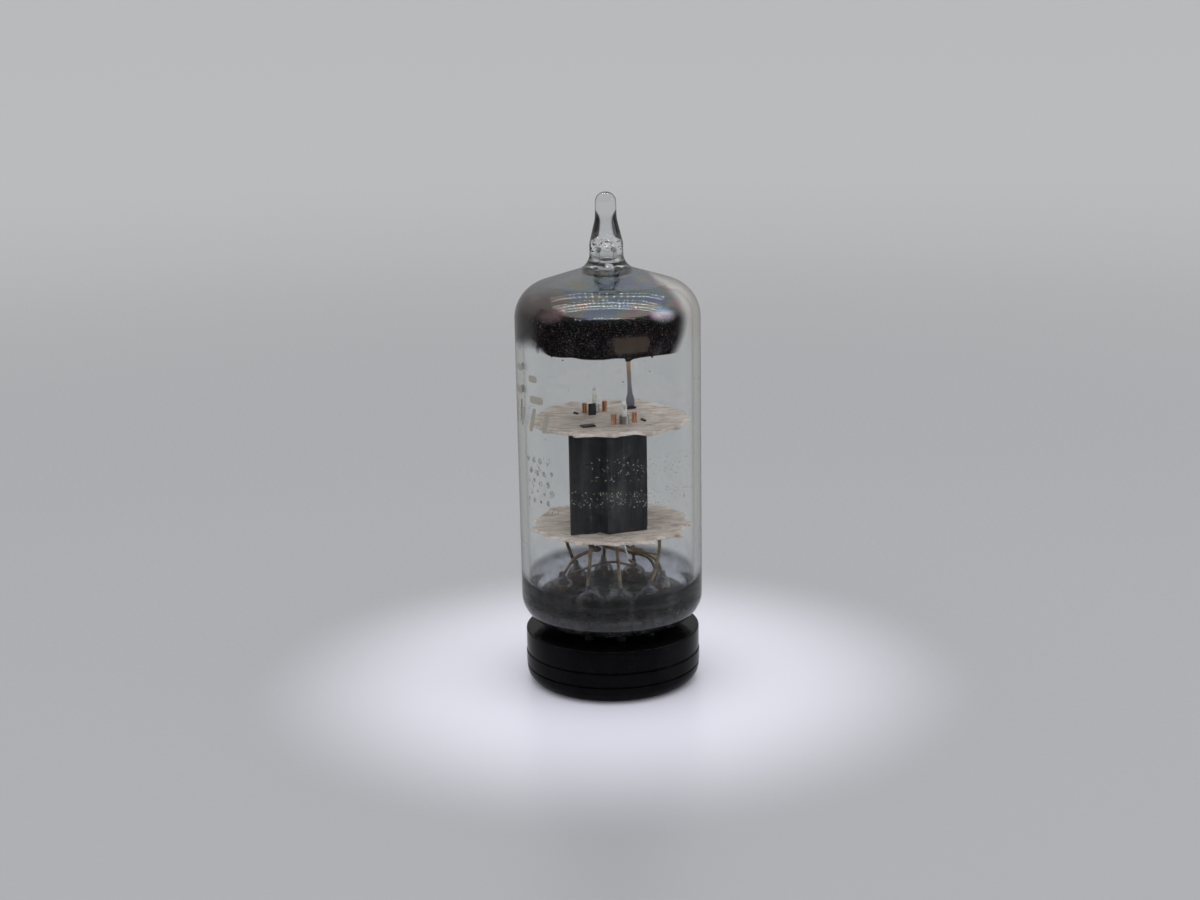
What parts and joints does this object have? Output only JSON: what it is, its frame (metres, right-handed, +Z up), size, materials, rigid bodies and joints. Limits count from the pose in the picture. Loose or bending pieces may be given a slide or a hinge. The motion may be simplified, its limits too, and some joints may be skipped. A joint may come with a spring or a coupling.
{
  "type": "vacuum tube",
  "caption": "Miniature glass vacuum tube with a top exhaust tip, a black twin plate cage between two mica discs and straight base pins standing in a round black pin guard.",
  "frame": {"origin": "centre of the pin guard's flat underside, on the surface it stands on", "axes": "+Z up along the bulb's axis, -Y towards the front of the tube, +X to the right seen from the front"},
  "size_m": [0.0208, 0.0208, 0.0562],
  "materials": {
    "black_plastic": "glossy black moulded plastic with fine wear",
    "clear_glass": "clear lamp glass",
    "stem_glass": "thick grey lead glass with brown seals",
    "nickel": "plain nickel, lightly drawn",
    "lead_wire": "oxidised brown wire",
    "mica": "mica sheet with a pale sprayed coat",
    "plate_black": "carbonised blue-black nickel sheet",
    "copper": "copper rod",
    "grid_nickel": "fine nickel wire and sleeve",
    "heater_coating": "white alumina coat on tungsten",
    "getter_metal": "copper-brown flashed nickel",
    "getter_mirror": "dark barium mirror"
  },
  "bodies": {
    "guard": {"pin_guard": "black_plastic"},
    "tube": {"glass_envelope": "clear_glass", "exhaust_tip": "clear_glass", "button_stem": "stem_glass", "pin_1": "nickel", "pin_2": "nickel", "pin_3": "nickel", "pin_4": "nickel", "pin_5": "nickel", "pin_6": "nickel", "pin_7": "nickel", "pin_8": "nickel", "pin_9": "nickel", "lead_1": "lead_wire", "lead_2": "lead_wire", "lead_3": "lead_wire", "lead_4": "lead_wire", "lead_5": "lead_wire", "lead_6": "lead_wire", "lead_7": "lead_wire", "lead_8": "lead_wire", "lead_9": "lead_wire", "heater_link": "lead_wire", "lower_mica": "mica", "upper_mica": "mica", "plate_front_outer": "plate_black", "plate_front_inner": "plate_black", "grid_rod_front_1": "copper", "grid_rod_front_2": "copper", "grid_winding_front": "grid_nickel", "cathode_front": "grid_nickel", "heater_front": "heater_coating", "cathode_strap_front": "lead_wire", "plate_rear_outer": "plate_black", "plate_rear_inner": "plate_black", "grid_rod_rear_1": "copper", "grid_rod_rear_2": "copper", "grid_winding_rear": "grid_nickel", "cathode_rear": "grid_nickel", "heater_rear": "heater_coating", "cathode_strap_rear": "lead_wire", "getter_channel": "getter_metal", "getter_strut": "getter_metal", "getter_film": "getter_mirror"}
  },
  "joints": [
    {"name": "tube_lift", "type": "slide", "parent": "guard", "child": "tube", "axis": [0, 0, 1], "range_m": [0, 0.015]}
  ]
}
